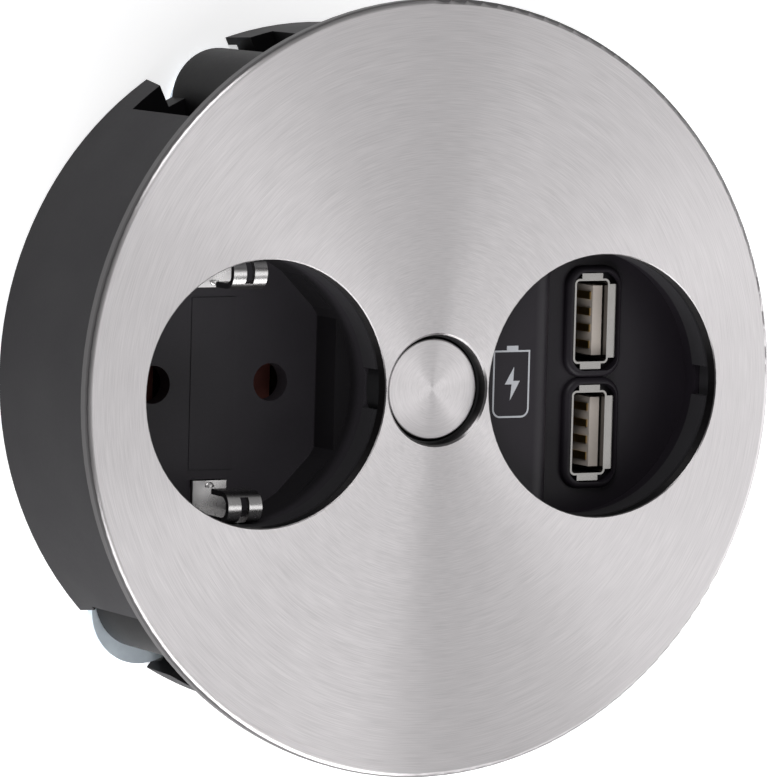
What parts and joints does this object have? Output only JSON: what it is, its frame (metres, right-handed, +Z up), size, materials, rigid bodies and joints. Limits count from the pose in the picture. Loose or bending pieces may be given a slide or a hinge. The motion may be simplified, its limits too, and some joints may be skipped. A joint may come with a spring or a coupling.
{
  "type": "recessed desk socket",
  "caption": "Round recessed desk socket: brushed steel turning lid over an earthed mains outlet and USB charging ports, black housing with clamping claws",
  "frame": {"origin": "on the axis of the round housing, in the plane of the desk top that the flange rests on", "axes": "+Z up out of the desk, +X towards the USB outlets, -X towards the mains outlet, +Y the way the battery sign stands upright"},
  "size_m": [0.112, 0.112, 0.0385],
  "materials": {
    "lid_steel": "spin-brushed stainless steel, anisotropic about the lid's axis",
    "button_steel": "satin steel cap",
    "black_plastic": "charcoal moulding with a fine grain",
    "carrier_plastic": "black moulding under the lid",
    "deck_plastic": "black satin moulding",
    "socket_plastic": "black fine-grained moulding",
    "usb_plastic": "black fine-grained moulding",
    "gland_plastic": "black moulding",
    "shutter_brown": "reddish brown moulding",
    "claw_zinc": "bright zinc plate, slightly blue",
    "spindle_steel": "zinc-plated screw steel",
    "screw_steel": "zinc-plated screw steel",
    "spring_steel": "spring steel",
    "earth_nickel": "bright nickel plate",
    "contact_brass": "plain brass",
    "port_steel": "bright plated sheet steel",
    "tongue_white": "off-white moulding",
    "contact_gold": "thin gold plate",
    "board_green": "solder mask on glass-fibre board",
    "coil_tape": "yellow winding tape",
    "can_sleeve": "printed sleeve, left plain"
  },
  "bodies": {
    "base": {"back_cover": "black_plastic", "cable_gland": "gland_plastic", "capacitor": "can_sleeve", "charger_board": "board_green", "cover_screws": "screw_steel", "deck": "deck_plastic", "deck_screws": "screw_steel", "earth_bracket": "earth_nickel", "housing": "black_plastic", "live_contact": "contact_brass", "neutral_contact": "contact_brass", "socket_base": "black_plastic", "socket_insert": "socket_plastic", "stop_ring": "black_plastic", "terminal_screws": "screw_steel", "transformer": "coil_tape", "usb_contacts_lower": "contact_gold", "usb_contacts_upper": "contact_gold", "usb_insert": "usb_plastic", "usb_shell_lower": "port_steel", "usb_shell_upper": "port_steel", "usb_tongue_lower": "tongue_white", "usb_tongue_upper": "tongue_white"},
    "lid": {"lid": "lid_steel", "lid_carrier": "carrier_plastic", "hub_clip": "spring_steel", "button_spring": "spring_steel"},
    "button": {"button_cap": "button_steel", "button_stem": "carrier_plastic"},
    "shutter": {"shutter": "shutter_brown"},
    "claw_upper": {"spindle_upper": "spindle_steel", "claw_upper": "claw_zinc"},
    "claw_lower": {"spindle_lower": "spindle_steel", "claw_lower": "claw_zinc"},
    "claw_right": {"spindle_right": "spindle_steel", "claw_right": "claw_zinc"}
  },
  "joints": [
    {"name": "lid_turn", "type": "hinge", "parent": "base", "child": "lid", "pos_m": [0, 0, 0], "axis": [0, 0, 1], "range_deg": [0, 90]},
    {"name": "button_press", "type": "slide", "parent": "lid", "child": "button", "axis": [0, 0, -1], "range_m": [0, 0.002], "stiffness_N_per_m": 600, "springref_m": -0.001, "deforming": ["button_spring"]},
    {"name": "shutter_slide", "type": "slide", "parent": "base", "child": "shutter", "axis": [-1, 0, 0], "range_m": [0, 0.0056], "stiffness_N_per_m": 60, "springref_m": -0.003},
    {"name": "claw_upper_swing", "type": "hinge", "parent": "base", "child": "claw_upper", "pos_m": [-0.01751, 0.03971, 0], "axis": [0, 0, 1], "range_deg": [-135, 0]},
    {"name": "claw_lower_swing", "type": "hinge", "parent": "base", "child": "claw_lower", "pos_m": [-0.02819, -0.033, 0], "axis": [0, 0, 1], "range_deg": [0, 135]},
    {"name": "claw_right_swing", "type": "hinge", "parent": "base", "child": "claw_right", "pos_m": [0.03832, -0.02038, 0], "axis": [0, 0, 1], "range_deg": [-135, 0]}
  ]
}
